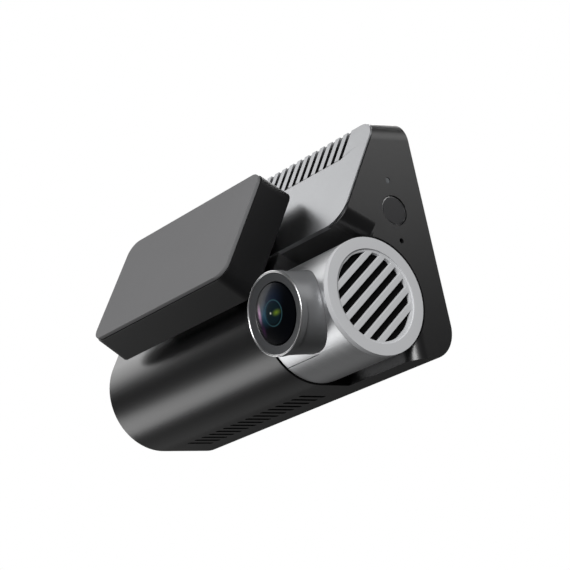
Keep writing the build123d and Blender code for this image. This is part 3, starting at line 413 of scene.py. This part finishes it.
# ---- Front glass ----
# A domed element with a multilayer coating, drawn opaque. Its colour holds painted reflections: near black,
# with a painted navy glow at the top, a painted rose reflection at one side, a painted teal zone by the
# second element, and a painted green glint and small white highlight at the middle.
low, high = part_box("front_glass")
glass_radius = (high.x - low.x) / 2
rise = 1.1 * MM
dome_points = []
for k in range(9):
    share = 1 - k / 8
    dome_points.append((glass_radius * share, low.y + rise * share ** 2))
glass_profile = [(0, high.y), (glass_radius, high.y)] + dome_points
glass = turned("front_glass_domed", glass_profile, lens_x, lens_z)
painted_reflection_glass = bpy.data.materials.new("glass_with_painted_reflections")
painted_reflection_glass.use_nodes = True
tree = painted_reflection_glass.node_tree
tree.nodes.clear()
where = add(tree, "ShaderNodeTexCoord").outputs["Object"]
centred = add(tree, "ShaderNodeMapping", [("Vector", where)])
centred.inputs["Location"].default_value = (-lens_x / glass_radius, 0, -lens_z / glass_radius)
centred.inputs["Scale"].default_value = (1 / glass_radius, 0, 1 / glass_radius)


def spot(x, z, radius, softness, squeeze=1.0):
    """A round patch of painted colour on the glass, in glass radii: 1 inside, fading to 0 across its soft
    edge.
    """
    place = add(tree, "ShaderNodeMapping", [("Vector", centred.outputs[0])])
    place.inputs["Location"].default_value = (-x / squeeze, 0, -z)
    place.inputs["Scale"].default_value = (1 / squeeze, 1, 1)
    distance = add(tree, "ShaderNodeVectorMath", [(0, place.outputs[0])], operation="LENGTH")
    edge = add(tree, "ShaderNodeMapRange", [("Value", distance.outputs["Value"])])
    edge.interpolation_type = "SMOOTHSTEP"
    edge.inputs["From Min"].default_value = radius + softness
    edge.inputs["From Max"].default_value = radius - softness
    return edge.outputs["Result"]


def over(under, colour, mask):
    """Lays a colour over what is under it, by a mask."""
    layer = add(tree, "ShaderNodeMix", data_type="RGBA")
    layer.inputs[7].default_value = linear(colour)
    tree.links.new(mask, layer.inputs[0])
    if isinstance(under, str):
        layer.inputs[6].default_value = linear(under)
    else:
        tree.links.new(under, layer.inputs[6])
    return layer.outputs[2]


def minus(first, second):
    """One mask with another taken out."""
    node = add(tree, "ShaderNodeMath", [(0, first), (1, second)], operation="SUBTRACT", use_clamp=True)
    return node.outputs[0]


# Painted reflections on the near-black glass: a navy glow at the top and a teal zone at the left.
tone = over("#020306", "#0f1a2c", spot(0.0, 0.45, 0.35, 0.4))
tone = over(tone, "#1b4a63", spot(-0.4, 0.08, 0.15, 0.4))
# A dark disc with a thin teal ring: the second element behind the glass, painted in rather than modelled.
tone = over(tone, "#0a1a20", spot(0.06, 0.0, 0.36, 0.06))
tone = over(tone, "#2c4a50", minus(spot(0.06, 0.0, 0.44, 0.02), spot(0.06, 0.0, 0.41, 0.02)))
# A painted rose reflection at the left, darker purple towards its lower end.
tone = over(tone, "#45214a", spot(-0.66, -0.38, 0.04, 0.34, 0.5))
tone = over(tone, "#dcaad4", spot(-0.7, 0.18, 0.1, 0.36, 0.36))
# A painted green glint at the middle and a small painted white highlight beside it.
tone = over(tone, "#7c961f", spot(0.24, -0.03, 0.02, 0.13, 1.8))
tone = over(tone, "#f0f5ea", spot(-0.04, 0.02, 0.02, 0.04))
shader = add(tree, "ShaderNodeBsdfPrincipled", [("Base Color", tone)], Roughness=0.3, IOR=1.5)
shader.inputs["Coat Weight"].default_value = 0.12
shader.inputs["Coat Roughness"].default_value = 0.02
shader.inputs["Specular IOR Level"].default_value = 0.1
add(tree, "ShaderNodeOutputMaterial", [("Surface", shader.outputs["BSDF"])])
glass.data.materials.append(painted_reflection_glass)
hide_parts("front_glass")

# ---- Power button ----
# Black ABS, moulded smooth. The chamfer round its face takes the polished metal, a painted highlight for the
# bright ring there. It sits in a round hole in the right end.
button_black = finish("smooth_black_abs", "#222224", rough=0.32, grain_mm=0.3, depth_mm=0.003)
button = eased_copy("power_button", 0.22)
button.data.materials.append(button_black)
button.data.materials.append(polished)
face_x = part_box("power_button")[1].x
# The angled chamfer faces take the polished metal: a painted highlight ring on the black button.
for face in button.data.polygons:
    if 0.3 < face.normal.x < 0.95 and face.center.x > face_x - 0.5 * MM:
        face.material_index = 1

# ---- Back ----
# The back plate is moulded with the housing's grain and screwed on. The screen is a sheet of
# glass printed black behind, and the four keys below it are smooth black ABS.
rear = eased_copy("rear_cover", 0.15)
rear.data.materials.append(housing_black)
screen_black = finish(
    "black_printed_glass", "#060608", rough=0.06, grain_mm=2.0, depth_mm=0.0005, tint=0.05,
    patch_mm=30.0, coat=0.5,
)
screen = eased_copy("screen_glass", 0.2)
screen.data.materials.append(screen_black)
for k in (1, 2, 3, 4):
    key = eased_copy(f"rear_button_{k}", 0.25)
    key.data.materials.append(button_black)

# ---- Pieces inside ----
# Boards, packages, screws, optics and sockets, each in its own plain finish. Each entry is
# (colour, roughness, metallic, nodes).
inner = {
    "green_solder_resist": ("#1c5a34", 0.4, 0.0, [
        "main_board", "sensor_board", "side_board",
    ]),
    "black_epoxy_package": ("#151515", 0.5, 0.0, [
        "processor", "image_sensor", "microphone", "key_switches", "power_switch",
        "wireless_module",
    ]),
    "zinc_plated_steel": ("#a7a9ac", 0.3, 1.0, [
        "rail_screws", "mount_screws", "pivot_screws", "board_screws", "rear_screws", "pivot_clip",
        "friction_washer", "power_port", "rear_camera_port", "card_socket", "display_tray",
        "drum_pivot",
    ]),
    "milled_aluminium": ("#b7b9bb", 0.35, 1.0, [
        "heat_spreader", "sensor_heat_sink",
    ]),
    "grey_silicone_pad": ("#8a8f95", 0.7, 0.0, [
        "processor_pad", "sensor_pad",
    ]),
    "fired_ceramic": ("#c9bfae", 0.5, 0.0, [
        "satellite_antenna",
    ]),
    "amber_polyimide": ("#a8641c", 0.35, 0.0, [
        "camera_flex", "display_flex",
    ]),
    "black_acetal": ("#101011", 0.4, 0.0, [
        "mount_rail", "mount_lid", "lens_cell", "lens_holder", "speaker", "memory_card",
        "backup_capacitors",
    ]),
    "smoked_acrylic": ("#4a4d50", 0.2, 0.0, [
        "status_light",
    ]),
    "blank_display": ("#0b0c0e", 0.2, 0.0, [
        "display_panel",
    ]),
    "coated_inner_glass": ("#0a0f16", 0.05, 0.0, [
        "second_glass", "rear_glass", "infrared_filter",
    ]),
}
for name, (colour, rough, metal, members) in inner.items():
    material = finish(name, colour, rough, grain_mm=0.4, depth_mm=0.005, metal=metal)
    for member in members:
        nodes[member].data.materials.clear()
        nodes[member].data.materials.append(material)
